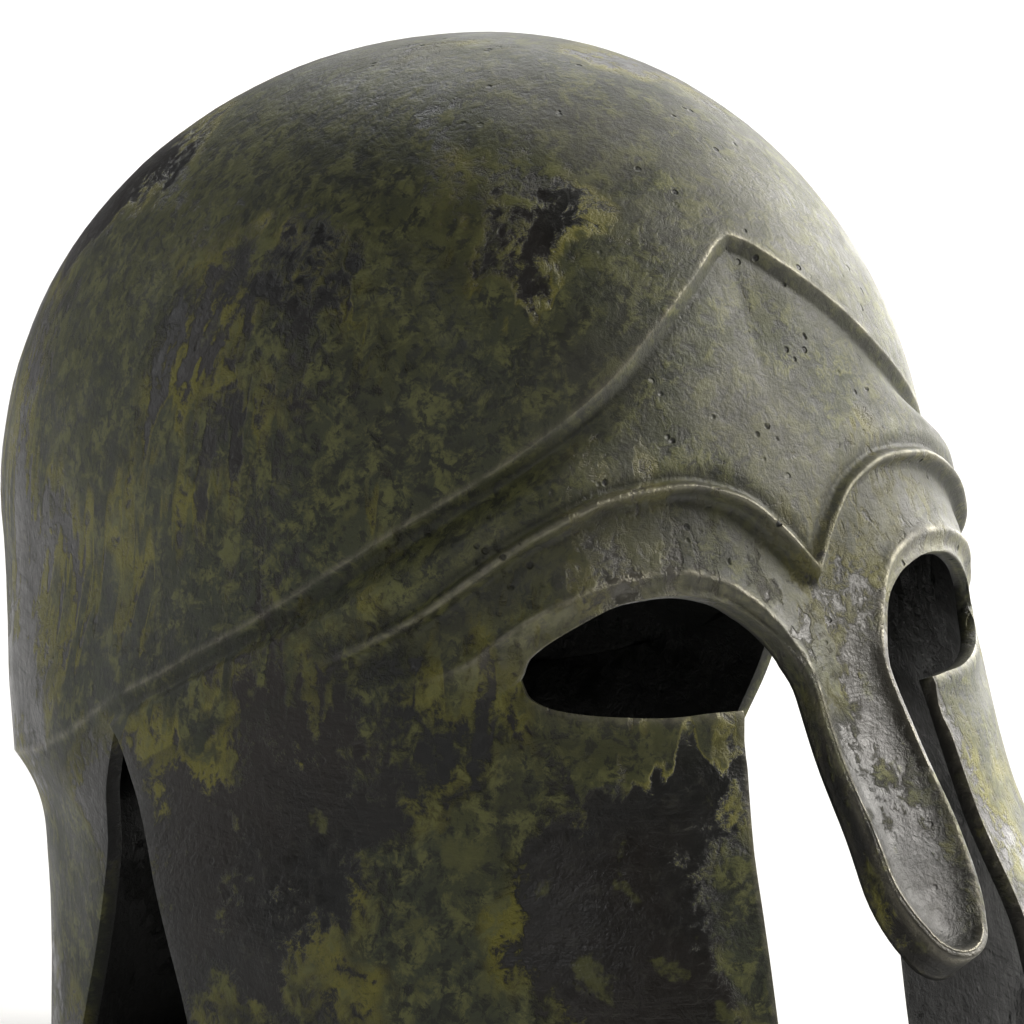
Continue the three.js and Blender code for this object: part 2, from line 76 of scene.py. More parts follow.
def through(places, values):
    """A smooth curve without overshoot through the given values."""
    x, y = np.array(places, float), np.array(values, float)
    slope = np.diff(y) / np.diff(x)
    tangent = np.empty_like(y)
    tangent[0], tangent[-1] = slope[0], slope[-1]
    product = slope[:-1] * slope[1:]
    total = slope[:-1] + slope[1:]
    safe = np.where(product > 0, total, 1)
    tangent[1:-1] = np.where(product > 0, 2 * product / safe, 0)

    def read(at):
        at = np.asarray(at, float)
        i = np.clip(np.searchsorted(x, at, side="right") - 1, 0, len(x) - 2)
        gap = x[i + 1] - x[i]
        t = np.clip((at - x[i]) / gap, 0, 1)
        bend = gap * t * (1 - t) * ((1 - t) * tangent[i] - t * tangent[i + 1])
        inside = y[i] + (y[i + 1] - y[i]) * t * t * (3 - 2 * t) + bend
        before = y[0] + (at - x[0]) * tangent[0]
        after = y[-1] + (at - x[-1]) * tangent[-1]
        return np.where(at < x[0], before, np.where(at > x[-1], after, inside))

    return read


def table(rows, column):
    """A smooth curve through one column of a table, against its first column."""
    return through([row[0] for row in rows], [row[column] for row in rows])


def mix(a, b, t):
    return a + (b - a) * t


def fade(value, low, high):
    """0 at the low limit, 1 at the high one."""
    t = np.clip((np.asarray(value, float) - low) / (high - low), 0, 1)
    return t * t * (3 - 2 * t)


face_front, face_half, face_full = (table(face_levels, k) for k in (1, 2, 3))
nose_y = table(nose_profile, 1)
nape_back, nape_half = table(nape_levels, 1), table(nape_levels, 2)
step_rise = table(step_line, 1)


def points(x, y, z):
    return np.stack(np.broadcast_arrays(x, y, z), axis=-1).astype(float)


def unit(vectors):
    return vectors / np.maximum(np.linalg.norm(vectors, axis=-1, keepdims=True), 1e-12)


def skull_point(turn, rise):
    """A point of the skull, by turn and by rise above its widest level."""
    side, ahead = np.sin(np.radians(turn)), np.cos(np.radians(turn))
    rise = np.asarray(rise, float)
    shrink = np.where(rise > 0, np.sqrt(np.maximum(0, 1 - (rise / HEIGHT) ** 2)), 1)
    skirt = fade(-rise, 0, SKIRT_DEPTH)
    reach = np.where(ahead > 0, FRONT * shrink, BACK * shrink - SKIRT_TUCK * skirt)
    along = -reach * ahead
    return points(
        (HALF_WIDTH * shrink + SKIRT_FLARE * skirt) * side,
        SKULL_Y + along * math.cos(LEAN) + rise * math.sin(LEAN),
        SKULL_Z + rise * math.cos(LEAN) - along * math.sin(LEAN),
    )


def face_point(turn, z):
    """A point of the face, by turn round the helmet and height."""
    angle = np.radians(turn)
    full = 1 + face_full(z) * np.sin(2 * angle) ** 2
    x = face_half(z) * np.sin(angle) * full
    y = MIDDLE_Y + (face_front(z) - MIDDLE_Y) * np.cos(angle) * full
    lead = np.maximum(0, face_front(z) - nose_y(z))
    return points(x, y - lead * (1 - fade(x, NOSE_FLAT, NOSE_FLAT + NOSE_FADE)), z)


def nape_point(turn, z):
    """A point of the neck guard, by turn round the helmet and height."""
    angle = np.radians(turn)
    return points(
        nape_half(z) * np.sin(angle), MIDDLE_Y - (nape_back(z) - MIDDLE_Y) * np.cos(angle), z
    )


def normal_of(form, turn, height):
    """The outward direction square to a form."""
    small = 0.05
    turn, height = np.broadcast_arrays(np.asarray(turn, float), np.asarray(height, float))
    around = form(turn + small, height) - form(turn - small, height)
    upward = form(turn, height + small) - form(turn, height - small)
    normal = unit(np.cross(around, upward))
    normal[(turn == 0) | (turn == 180), 0] = 0
    return unit(normal)


# ---- the lines of the face ----------------------------------------------------------------
# Brow ridge, rim and edge of the eye and nose guard, and the edges of the cheekpieces and
# the neck guard, as turns round the helmet and heights, from the nose tip to the ear slit.

# brow turn and height, rim turn and height, edge turn and height, depth of the edge, step turn
stations = [
    (0, 87, 0, 79, 0, 77.8, 9.5, 0), (0, 93, 4.2, 84, 4.8, 83.2, 9.3, 0),
    (0, 104, 6.4, 96, 7, 95.8, 8.6, 0), (0, 122, 6.5, 115.5, 7.1, 115.5, 6.6, 0),
    (0, 140, 6, 131.5, 6.7, 131.2, 6.2, 0), (0, 153, 8.2, 141.8, 9.3, 140.7, 6, 0),
    (4.8, 162.6, 11.4, 148.8, 12.8, 146.6, 4.6, 6), (10, 169.3, 15.9, 153.7, 17, 150, 3, 12),
    (18, 172.6, 21.5, 155.6, 22, 151.3, 2.2, 19), (26.5, 171.2, 28, 154.5, 27.5, 150.3, 2, 27),
    (37, 164, 36.2, 149.6, 34.8, 144.9, 2, 36), (46.5, 153, 43.3, 142.2, 40.4, 138.2, 1.5, 45),
    (52, 146, 46.5, 137.5, 41.6, 134.2, 1, 51), (62, 136, 57, 129, 53, 124.5, 0, 62),
    (76, 123.5, 72.5, 115.5, 69.5, 110.5, 0, 78), (91.2, 105.5, 88.6, 98.5, 86.6, 91.5, 0, 96),
]
NOSE_END, CORNER, SLIT = 5, 12, 15
eye_lower_edge = [
    (16.1, 127.3), (20, 127.2), (26.2, 126.6), (33.2, 127.1), (38.6, 128.5), (41, 130.9),
    (41.6, 134.2),
]
cheek_front_edge = [
    (0, 27.5), (4, 23.3), (14, 21.6), (35, 21), (70, 20.3), (98, 18.5), (117.7, 16.9),
    (127.3, 16.1),
]
cheek_rear_edge = [
    (0, 69), (4, 73.6), (14, 76), (52, 80), (72.4, 82.9), (83.3, 84.9), (93.9, 87.3),
    (101.7, 89.6), (108.3, 92), (111, 93.6),
]
nape_front_edge = [
    (0, 116), (18, 113), (38, 108.5), (54, 104.5), (78, 99.5), (99, 95.8), (111, 93.6),
]

count = range(len(stations))
brow_turn, brow_z, step_turn = (
    through(range(NOSE_END, SLIT + 1), [row[k] for row in stations[NOSE_END:]]) for k in (0, 1, 7)
)
rim_turn, rim_z, edge_turn, edge_z, edge_deep = (
    through(count, [row[k] for row in stations]) for k in (2, 3, 4, 5, 6)
)
TIP_ARC = math.radians(75)


def round_tip(at):
    """Places the first columns evenly round the tip of the nose guard."""
    share = min(at, 1.0) * TIP_ARC
    return math.sin(share) / math.sin(TIP_ARC), (1 - math.cos(share)) / (1 - math.cos(TIP_ARC))


front_edge_turn = table(cheek_front_edge, 1)
rear_edge_turn = table(cheek_rear_edge, 1)
nape_edge_turn = table(nape_front_edge, 1)
lower_eye_turn, lower_eye_z = (
    through(range(len(eye_lower_edge)), [row[k] for row in eye_lower_edge]) for k in (0, 1)
)


def beside_brow(at, distance):
    """The turn and height at a distance in millimetres above or below the brow line."""
    turn, z = float(brow_turn(at)), float(brow_z(at))
    next_turn, next_z = float(brow_turn(at + 0.02)), float(brow_z(at + 0.02))
    around = np.linalg.norm(face_point(turn + 0.5, z) - face_point(turn - 0.5, z))
    upward = np.linalg.norm(face_point(turn, z + 0.5) - face_point(turn, z - 0.5))
    line = np.array([(next_turn - turn) * around, (next_z - z) * upward])
    line /= np.linalg.norm(line)
    square = np.array([-line[1], line[0]])
    # between the brows the two ridges meet in a point, so the way across it is mitred there
    way = mix(np.array([0.0, 1.0]), square, float(fade(at, NOSE_END, NOSE_END + 1.6)))
    way /= np.linalg.norm(way)
    way *= distance / float(way @ square)
    return turn + way[0] / around, z + way[1] / upward


# ---- helmet: skull, brow, nose guard, cheekpieces and neck guard in one casting -----------
# The skin is laid out as columns that cross each ridge, step and rim, so their rounded
# profiles are real shape. Each place on it is a point outside, a point inside, how bright
# it is painted along crests and edges (wear and a painted highlight), and how dark it is
# painted in grooves and hollows (grime and painted shade).

class Skin:
    """The places of the right half, and the faces between them."""

    outer = []
    inner = []
    worn_and_highlight = []
    grime_and_shade = []
    faces = []


def lay(outer, inner, worn_and_highlight=0.0, grime_and_shade=0.0):
    """Adds one column of places and returns their numbers."""
    first = len(Skin.outer)
    flat = np.abs(outer[:, 2]) < 1e-9
    inner = inner.copy()
    inner[flat, 2] = 0
    size = len(outer)
    Skin.outer.extend(outer)
    Skin.inner.extend(inner)
    Skin.worn_and_highlight.extend(np.broadcast_to(worn_and_highlight, size))
    Skin.grime_and_shade.extend(np.broadcast_to(grime_and_shade, size))
    return list(range(first, first + size))


def face_column(turn, z, relief=0.0, thick=WALL, shift=None):
    turn, z = np.asarray(turn, float), np.asarray(z, float)
    relief = np.broadcast_to(relief, turn.shape)[:, None]
    thick = np.broadcast_to(thick, turn.shape)[:, None]
    normal = normal_of(face_point, turn, z)
    base = face_point(turn, z)
    if shift is not None:
        base = base + shift
    return base + normal * relief, base - normal * thick


def join(columns):
    """Faces between columns that stand side by side."""
    for left, right in zip(columns, columns[1:]):
        for j in range(len(left) - 1):
            corners = [left[j], right[j], right[j + 1], left[j + 1]]
            kept = [c for k, c in enumerate(corners) if c != corners[k - 1]]
            if len(kept) > 2:
                Skin.faces.append(kept)


# distance below the skull's edge and share of the step's depth, down its sloping wall
step_profile = [
    (0, 0), (0.2, 0.02), (0.5, 0.12), (1.2, 0.44), (1.9, 0.78), (2.4, 0.98), (2.9, 1.1), (3.5, 1.1),
]
# distance above the brow line and relief, down over the ridge and into the eye surround
ridge_profile = [
    (5.6, 0), (4.2, -0.35), (3.0, -0.8), (2.2, -0.85), (1.6, -0.3), (1.15, 0.55), (0.75, 1.15),
    (0.3, 1.4), (-0.15, 1.32), (-0.55, 0.75), (-0.9, -0.3), (-1.3, -1.35), (-1.9, -2.0),
    (-3.0, -2.15),
]
# share of the way from there to the rim, with the relief at the eye and in the nose guard
surround_profile = [
    (0, -2.15, -1), (0.1, -2.05, -1), (0.22, -1.8, -0.99), (0.35, -1.5, -0.96), (0.48, -1.2, -0.9),
    (0.6, -1.0, -0.8), (0.7, -0.85, -0.68), (0.79, -0.6, -0.52), (0.86, -0.15, -0.34),
    (0.92, 0.4, -0.14), (0.96, 0.75, 0.03), (1, 0.85, 0.12),
]
# share of the way from the rim to the edge of the opening, with the same two reliefs
lip_profile = [
    (0.12, 0.7, 0.14), (0.28, 0.1, 0.14), (0.48, -0.45, 0.12), (0.72, -0.6, 0.06), (0.92, -0.35, -0.06),
]
PANEL_ROWS = 16
STEP_AT_PEAK, STEP_AT_EAR = 2.4, 1.0
DISH_AT_TIP, DISH_AT_BROW = 2.4, 1.5
EDGE_BAND = 1.6
COVE, COVE_POWER, NAPE_EASE = 20.0, 2.2, 40.0


def step_down(turn):
    """Points from the skull's edge down the step, with the inner skin behind them."""
    rise = step_rise(turn)
    edge, normal = skull_point(turn, rise), normal_of(skull_point, turn, rise)
    along = unit(skull_point(turn + 0.2, step_rise(turn + 0.2)) - edge)
    down = unit(np.cross(along, normal))
    # at the peak the two steps meet in a point, so the way down them is mitred there
    straight = unit(down * (0.0, 1.0, 1.0))
    way = mix(straight, down, float(fade(turn, 0, 6)))
    down = way / float(way @ down)
    depth = mix(STEP_AT_PEAK, STEP_AT_EAR, float(fade(turn, 5, 80)))
    far = np.array([row[0] for row in step_profile])[:, None]
    deep = np.array([row[1] for row in step_profile])[:, None] * depth
    outer = edge - normal * deep + down * far
    return outer, outer - normal * WALL


def turn_on_face(point):
    x, y, z = point
    return math.degrees(math.atan2(x / face_half(z), (y - MIDDLE_Y) / (face_front(z) - MIDDLE_Y)))


def rim_column(at, turn, z):
    """From under the ridge, or from the nose guard's middle line, out to the edge."""
    nose = 1 - float(fade(at, NOSE_END - 1, NOSE_END + 1))
    rim_t, rim_h = float(rim_turn(at)), float(rim_z(at))
    end_t, end_h = float(edge_turn(at)), float(edge_z(at))
    if at < 1:
        out, up = round_tip(at)
        rim_t, rim_h = out * stations[1][2], mix(stations[0][3], stations[1][3], up)
        end_t, end_h = out * stations[1][4], mix(stations[0][5], stations[1][5], up)
    strength = 1 - float(fade(at, CORNER - 0.2, CORNER + 0.8))
    deep = float(edge_deep(at)) * (1 - float(fade(at, CORNER, CORNER + 0.2)))
    thick = max(WALL, deep + EDGE_BAND)
    dish = mix(DISH_AT_TIP, DISH_AT_BROW, float(fade(at, 3, NOSE_END)))
    rows = []
    for share, at_eye, at_nose in surround_profile:
        relief = mix(at_eye, at_nose * dish, nose) * strength
        # a painted highlight with wear, brightening towards the rim's crest
        shine = float(fade(share, 0.88, 0.98)) * strength
        # painted shade with dirt: dark just under the ridge and down the middle of the nose guard's
        # dish
        dirt_and_shade = mix(0.8 - 0.9 * share, 0.6 * float(fade(share, 0.3, 0.7)), nose)
        rows.append((mix(turn, rim_t, share), mix(z, rim_h, share), relief, shine, max(0, dirt_and_shade)))
    for share, at_eye, at_nose in lip_profile:
        relief = mix(at_eye, at_nose, nose) * strength
        rows.append((mix(rim_t, end_t, share), mix(rim_h, end_h, share), relief, 0.4 * strength, 0))
    # a painted highlight with wear on the lip and along the edge of the opening
    for drop, shine in ((0.1, 1), (0.28, 0.3), (0.5, 0), (0.75, 0), (1.0, 0.3)):
        rows.append((end_t, end_h, -drop * deep - 0.1 * strength, shine * strength, 0.1))
    turns, heights, reliefs, shines, dirts_and_shades = (np.array(c, float) for c in zip(*rows))
    return turns, heights, reliefs, thick, shines, dirts_and_shades


def arch_column(at):
    foot_turn_at = float(step_turn(at))
    outer, inner = step_down(foot_turn_at)
    foot = outer[-1]
    foot_turn = turn_on_face(foot)
    shift = foot - face_point(foot_turn, foot[2])
    strength = 1 - float(fade(float(brow_turn(at)), 50, 68))
    up_turn, up_z = beside_brow(at, ridge_profile[0][0])
    low_turn, low_z = beside_brow(at, ridge_profile[-1][0])
    shares = np.arange(1, PANEL_ROWS) / PANEL_ROWS
    kept = (1 - fade(shares, 0, 0.7))[:, None]
    panel = face_column(
        mix(foot_turn, up_turn, shares), mix(foot[2], up_z, shares), shift=shift * kept
    )
    ridge_at = np.array([beside_brow(at, row[0]) for row in ridge_profile])
    relief = np.array([row[1] for row in ridge_profile]) * strength
    turns, heights, reliefs, thick, shines, dirts_and_shades = rim_column(at, low_turn, low_z)
    grow = np.linspace(WALL, thick, len(ridge_profile))
    ridge = face_column(ridge_at[:, 0], ridge_at[:, 1], relief, grow)
    carried = (relief[-1] - reliefs[0]) * (1 - fade(np.arange(len(reliefs)), 0, 8))
    rim = face_column(turns[1:], heights[1:], (reliefs + carried)[1:], thick)
    far = np.array([row[0] for row in ridge_profile])
    # a painted highlight with wear along the ridge's crest
    ridge_shine = np.exp(-((far - 0.2) / 0.7) ** 2) * strength
    # painted shade with dirt in the groove above the ridge and under its drop
    ridge_grime_and_shade = (np.exp(-((far - 3.0) / 0.9) ** 2) + np.exp(-((far + 2.3) / 0.9) ** 2)) * strength
    # along the step: a painted highlight with wear on its top edge, painted shade with dirt at its foot
    # and on the panel next to it
    step_shine = np.array([1, 1, 0.4, 0, 0, 0, 0, 0]) * 0.9
    step_grime_and_shade = np.array([0, 0, 0, 0.1, 0.3, 0.8, 1, 0.9])
    panel_grime_and_shade = 0.5 * np.exp(-shares * PANEL_ROWS / 1.5)
    return (
        np.concatenate([outer, panel[0], ridge[0], rim[0]]),
        np.concatenate([inner, panel[1], ridge[1], rim[1]]),
        np.concatenate([step_shine, shares * 0, ridge_shine, shines[1:]]),
        np.concatenate([step_grime_and_shade, panel_grime_and_shade, ridge_grime_and_shade, dirts_and_shades[1:]]),
    )


NOSE_COLUMNS, EYE_COLUMNS, TAIL_COLUMNS, NAPE_COLUMNS, LOWER_EYE_COLUMNS = 34, 64, 30, 40, 30
SKULL_ROWS, CHEEK_ROWS, NAPE_ROWS = 44, 44, 44
STEP_ROWS = len(step_profile)
BEAD_FOOT = STEP_ROWS + PANEL_ROWS - 1 + len(ridge_profile) - 1

arch_ats = np.concatenate([
    np.linspace(NOSE_END, CORNER, EYE_COLUMNS, endpoint=False),
    np.linspace(CORNER, SLIT, TAIL_COLUMNS + 1),
])
arch = []
for at in arch_ats[:-1]:
    arch.append(lay(*arch_column(at)))

# the last column runs down the edge of the ear slit
slit_outer, slit_inner = step_down(float(step_turn(SLIT)))
slit_z = np.linspace(cheek_rear_edge[-1][0], float(edge_z(SLIT)), len(arch[0]) - STEP_ROWS)
down_slit = face_column(rear_edge_turn(slit_z), slit_z)
# painted shade with dirt, lightly, down the edge of the ear slit
arch.append(lay(
    np.concatenate([slit_outer, down_slit[0]]), np.concatenate([slit_inner, down_slit[1]]),
    0.0, 0.2,
))
join(arch)

nose = []
spine_z = through(
    range(NOSE_END + 1),
    [row[1] for row in stations[:NOSE_END]] + [beside_brow(NOSE_END, ridge_profile[-1][0])[1]],
)
for at in np.linspace(0, NOSE_END, NOSE_COLUMNS, endpoint=False):
    turns, heights, reliefs, thick, shines, dirts_and_shades = rim_column(at, 0.0, float(spine_z(at)))
    nose.append(lay(*face_column(turns, heights, reliefs, thick), shines, dirts_and_shades))
nose.append(arch[0][BEAD_FOOT:])
join(nose)

# cheekpiece, filled in between its four edges, with a soft groove under the eye
top_at = np.linspace(0, len(eye_lower_edge) - 1, LOWER_EYE_COLUMNS, endpoint=False)
top_turn = np.concatenate([lower_eye_turn(top_at), edge_turn(arch_ats[EYE_COLUMNS:])])
top_z = np.concatenate([lower_eye_z(top_at), edge_z(arch_ats[EYE_COLUMNS:])])
rows = np.sort(np.append(np.linspace(0, 1, CHEEK_ROWS + 1), [0.004, 0.012, 0.99, 0.997]))
cheek = []
for i, (turn_here, z_here) in enumerate(zip(top_turn, top_z)):
    across = i / (len(top_turn) - 1)
    front_z, rear_z = top_z[0] * (1 - rows), top_z[-1] * (1 - rows)
    side = mix(front_edge_turn(front_z), rear_edge_turn(rear_z), across)
    turns = side + (1 - rows) * (turn_here - mix(top_turn[0], top_turn[-1], across))
    heights = mix(front_z, rear_z, across) + (1 - rows) * (z_here - mix(top_z[0], top_z[-1], across))
    heights[-1] = 0
    below = z_here - heights
    under_eye = 1 - float(fade(across, 0.25, 0.5))
    groove = -0.9 * np.exp(-((below - 7) / 3.4) ** 2) * under_eye
    lip = 0.35 * np.exp(-((below - 1.2) / 1.4) ** 2) * under_eye
    relief = (groove + lip) * np.minimum(1, below)
    if i < LOWER_EYE_COLUMNS:
        sunk = 1.1 * float(fade(i, LOWER_EYE_COLUMNS - 6, LOWER_EYE_COLUMNS))
    else:
        at = arch_ats[EYE_COLUMNS + i - LOWER_EYE_COLUMNS]
        sunk = (float(edge_deep(at)) + 0.1) * (1 - float(fade(at, CORNER, CORNER + 0.2)))
    relief = relief - sunk * np.exp(-(below / 2.5) ** 2)
    # a painted highlight with wear along the lower edge of the eye opening, and all down the cheek's
    # front edge
    shine = np.exp(-(below / 1.3) ** 2) * under_eye
    if i == 0:
        shine = np.ones_like(below)
    # painted shade with dirt in the groove under the eye
    dirt_and_shade = 0.7 * np.exp(-((below - 7) / 3.0) ** 2) * under_eye
    column = lay(*face_column(turns, heights, relief), shine, dirt_and_shade)
    if i >= LOWER_EYE_COLUMNS:
        column[0] = arch[EYE_COLUMNS + i - LOWER_EYE_COLUMNS][-1]
    cheek.append(column)
join(cheek)

# neck guard: it draws in under the step by a cove, then falls to its lower edge
COVE_ROWS, COVE_SHARE = 24, 0.2
drops = np.concatenate([
    np.linspace(0, 1, COVE_ROWS + 1)[:-1] ** 1.7 * COVE_SHARE,
    np.linspace(COVE_SHARE, 1, NAPE_ROWS - COVE_ROWS + 1),
])
slit_share = float(drops[STEP_ROWS])
nape = []
for i in range(NAPE_COLUMNS + 1):
    across = i / NAPE_COLUMNS
    turn_top = mix(float(step_turn(SLIT)), 180.0, across)
    rise = step_rise(turn_top)
    top, top_normal = skull_point(turn_top, rise), normal_of(skull_point, turn_top, rise)
    heights = top[2] * (1 - drops)
    fallen = top[2] - heights
    sideways = top[0] / float(nape_half(top[2]))
    backward = (top[1] - MIDDLE_Y) / (float(nape_back(top[2])) - MIDDLE_Y)
    turn_here = math.degrees(math.atan2(sideways, -backward))
    proud = top - nape_point(turn_here, top[2])
    spread = mix(nape_edge_turn(np.minimum(heights, cheek_rear_edge[-1][0])), 180.0, across)
    if i == 0:
        heights = mix(cheek_rear_edge[-1][0], 0.0, np.maximum(0, drops - slit_share) / (1 - slit_share))
        outer = nape_point(nape_edge_turn(heights), heights)
        normal = normal_of(nape_point, nape_edge_turn(heights), heights)
    else:
        turns = mix(turn_here, spread, fade(fallen, 0, NAPE_EASE))
        if i == NAPE_COLUMNS:
            turns = np.full_like(turns, 180.0)
        cove = np.maximum(0, 1 - fallen / COVE) ** COVE_POWER
        outer = nape_point(turns, heights) + proud * cove[:, None]
        normal = normal_of(nape_point, turns, heights)
        normal[0] = top_normal
    # a painted highlight with wear along the top of the neck guard, under the step
    shine = 0.8 * np.exp(-(fallen / 1.0) ** 2)
    # painted shade with dirt in the cove under the step
    dirt_and_shade = 0.8 * np.exp(-((fallen - 7) / 5) ** 2)
    nape.append(lay(outer, outer - normal * WALL, shine, dirt_and_shade))
nape[0][:STEP_ROWS + 1] = arch[-1][:STEP_ROWS + 1]
join(nape)

skull = []
edges = [(float(step_turn(at)), column[0]) for at, column in zip(arch_ats, arch)]
edges += [
    (mix(float(step_turn(SLIT)), 180.0, (i + 1) / NAPE_COLUMNS), column[0])
    for i, column in enumerate(nape[1:])
]
crown = None
for turn, edge in edges:
    low = float(step_rise(turn)) / HEIGHT
    lowest = math.asin(low) if low > 0 else low
    share = np.sort(np.append(np.linspace(0, 1, SKULL_ROWS + 1), [0.984, 0.993]))
    latitude = mix(math.pi / 2, lowest, share)
    rise = HEIGHT * np.where(latitude > 0, np.sin(latitude), latitude)
    outer = skull_point(turn, rise)
    normal = normal_of(skull_point, turn, np.minimum(rise, HEIGHT - 0.3))
    normal[0] = (0, math.sin(LEAN), math.cos(LEAN))
    away = np.linalg.norm(outer - outer[-1], axis=1)
    # a painted highlight with wear along the skull's edge at the top of the step
    column = lay(outer, outer - normal * WALL, 0.9 * np.exp(-(away / 0.8) ** 2))
    crown = column[0] if crown is None else crown
    column[0], column[-1] = crown, edge
    skull.append(column)
join(skull)

# the right half with its mirror, as one closed mesh with rounded rims
outer, inner = np.array(Skin.outer), np.array(Skin.inner)
worn_and_highlight, grime_and_shade = np.array(Skin.worn_and_highlight, float), np.array(Skin.grime_and_shade, float)
middle = np.abs(outer[:, 0]) < 1e-6
outer[middle, 0] = inner[middle, 0] = 0
total = len(outer)
twin = np.where(middle, np.arange(total), np.arange(total) + total)
flip = np.array([-1.0, 1.0, 1.0])
right = [np.array(f) for f in Skin.faces]


def facing_out(f):
    a, b, c = (outer[k] for k in f[:3])
    return np.dot(np.cross(b - a, c - a), outer[f[0]] - inner[f[0]])


if sum(facing_out(f) for f in right) < 0:
    right = [f[::-1] for f in right]
skin = right + [twin[f][::-1] for f in right]
outer, inner = np.concatenate([outer, outer * flip]), np.concatenate([inner, inner * flip])
worn_and_highlight, grime_and_shade = np.tile(worn_and_highlight, 2), np.tile(grime_and_shade, 2)
used = np.unique(np.concatenate(skin))
number = np.full(len(outer), -1)
number[used] = np.arange(len(used))
skin = [number[f] for f in skin]
outer, inner, worn_and_highlight, grime_and_shade = outer[used], inner[used], worn_and_highlight[used], grime_and_shade[used]
centre_y = (outer[:, 1].min() + outer[:, 1].max()) / 2
size = len(outer)

walked = {(int(a), int(b)) for f in skin for a, b in zip(f, np.roll(f, -1))}
rims = [(a, b) for a, b in walked if (b, a) not in walked]
mesh = bpy.data.meshes.new("bronze_helmet")
mesh.from_pydata(
    ((np.concatenate([outer, inner]) - (0, centre_y, 0)) / 1000).tolist(),
    [],
    [f.tolist() for f in skin]
    + [(f[::-1] + size).tolist() for f in skin]
    + [(b, a, a + size, b + size) for a, b in rims],
)
for name, values in (
    ("worn_and_highlight", np.append(worn_and_highlight, np.zeros(size))),
    ("grime_and_shade", np.append(grime_and_shade, np.zeros(size))),
    ("inside", np.append(np.zeros(size), np.ones(size))),
):
    mesh.attributes.new(name, "FLOAT", "POINT").data.foreach_set("value", values)
helmet = bpy.data.objects.new("bronze_helmet", mesh)
bpy.context.scene.collection.objects.link(helmet)

shape = bmesh.new()
shape.from_mesh(mesh)
shape.verts.ensure_lookup_table()
shape.normal_update()
# the casting is never quite even: long soft waves and short unevenness, in millimetres
for vert in list(shape.verts)[:size]:
    spot = vert.co
    wave = 0.30 * noise.noise(spot * 22) + 0.13 * noise.noise(spot * 75 + Vector((3, 1, 7)))
    wave += 0.05 * noise.noise(spot * 210 + Vector((9, 4, 2)))
    low = min(1.0, max(0.0, spot.z / 0.004))
    vert.co = spot + vert.normal * wave * 0.001 * low
shade = shape.edges.layers.float.new("bevel_weight_edge")
for a, b in rims:
    for start, end in ((a, b), (a + size, b + size)):
        edge = shape.edges.get((shape.verts[start], shape.verts[end]))
        edge[shade] = 1.0
bmesh.ops.remove_doubles(shape, verts=shape.verts, dist=2e-5)
bmesh.ops.dissolve_degenerate(shape, edges=shape.edges, dist=1e-6)
for face in shape.faces:
    face.smooth = True
shape.to_mesh(mesh)
shape.free()
rounding = helmet.modifiers.new("rounded_rims", "BEVEL")
rounding.limit_method = "WEIGHT"
rounding.width = 0.0006
rounding.segments = 3

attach(helmet, "root")
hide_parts("helmet_shell")

# ---- patina -------------------------------------------------------------------------------
# Dark, nearly black bronze. Olive and yellow-green patina lies on it in mottled patches and
# has run down the skull; crests and edges are painted bright (wear and a painted highlight),
# grooves are painted dark (dirt and painted shade).

bronze = bpy.data.materials.new("patinated_bronze")
bronze.use_nodes = True
tree = bronze.node_tree
tree.nodes.clear()


def add(kind, settings=(), **inputs):
    """A node with its settings, and with numbers, colours or other nodes on its sockets."""
    made = tree.nodes.new(kind)
    for key, value in dict(settings).items():
        setattr(made, key, value)
    for key, value in inputs.items():
        place = made.inputs[int(key[1:])] if key[0] == "i" and key[1:].isdigit() else made.inputs[key]
        if isinstance(value, bpy.types.Node):
            value = value.outputs[0]
        if isinstance(value, bpy.types.NodeSocket):
            tree.links.new(value, place)
        else:
            place.default_value = value
    return made


def math_of(operation, a, b=0.5, clamp=False):
    return add("ShaderNodeMath", {"operation": operation, "use_clamp": clamp}, i0=a, i1=b)


def spread(value, low, high, to_low=0.0, to_high=1.0):
    """Maps a value smoothly from one range to another."""
    made = add("ShaderNodeMapRange", {"interpolation_type": "SMOOTHSTEP"})
    for key, number_or_socket in zip(range(5), (value, low, high, to_low, to_high)):
        if isinstance(number_or_socket, bpy.types.Node):
            number_or_socket = number_or_socket.outputs[0]
        if isinstance(number_or_socket, bpy.types.NodeSocket):
            tree.links.new(number_or_socket, made.inputs[key])
        else:
            made.inputs[key].default_value = number_or_socket
    return made


def blend_colour(share, under, over, kind="MIX"):
    made = add("ShaderNodeMix", {"data_type": "RGBA", "blend_type": kind})
    for key, value in ((0, share), (6, under), (7, over)):
        if isinstance(value, bpy.types.Node):
            value = value.outputs[2 if value.bl_idname == "ShaderNodeMix" else 0]
        if isinstance(value, bpy.types.NodeSocket):
            tree.links.new(value, made.inputs[key])
        else:
            made.inputs[key].default_value = value if key == 0 else (*value, 1.0)
    return made


where = add("ShaderNodeTexCoord").outputs["Object"]


def grain(scale, detail=6.0, rough=0.6, distort=0.0, stretch=(1, 1, 1), offset=(0, 0, 0), at=where):
    moved = add("ShaderNodeMapping", i0=at)
    moved.inputs["Location"].default_value = offset
    moved.inputs["Scale"].default_value = stretch
    return add(
        "ShaderNodeTexNoise", Vector=moved, Scale=scale, Detail=detail, Roughness=rough,
        Distortion=distort,
    )


def times(*values):
    result = values[0]
    for value in values[1:]:
        result = math_of("MULTIPLY", result, value)
    return result


def plus(a, b):
    return math_of("ADD", a, b)


def mark(name):
    return add("ShaderNodeAttribute", {"attribute_name": name}).outputs["Fac"]


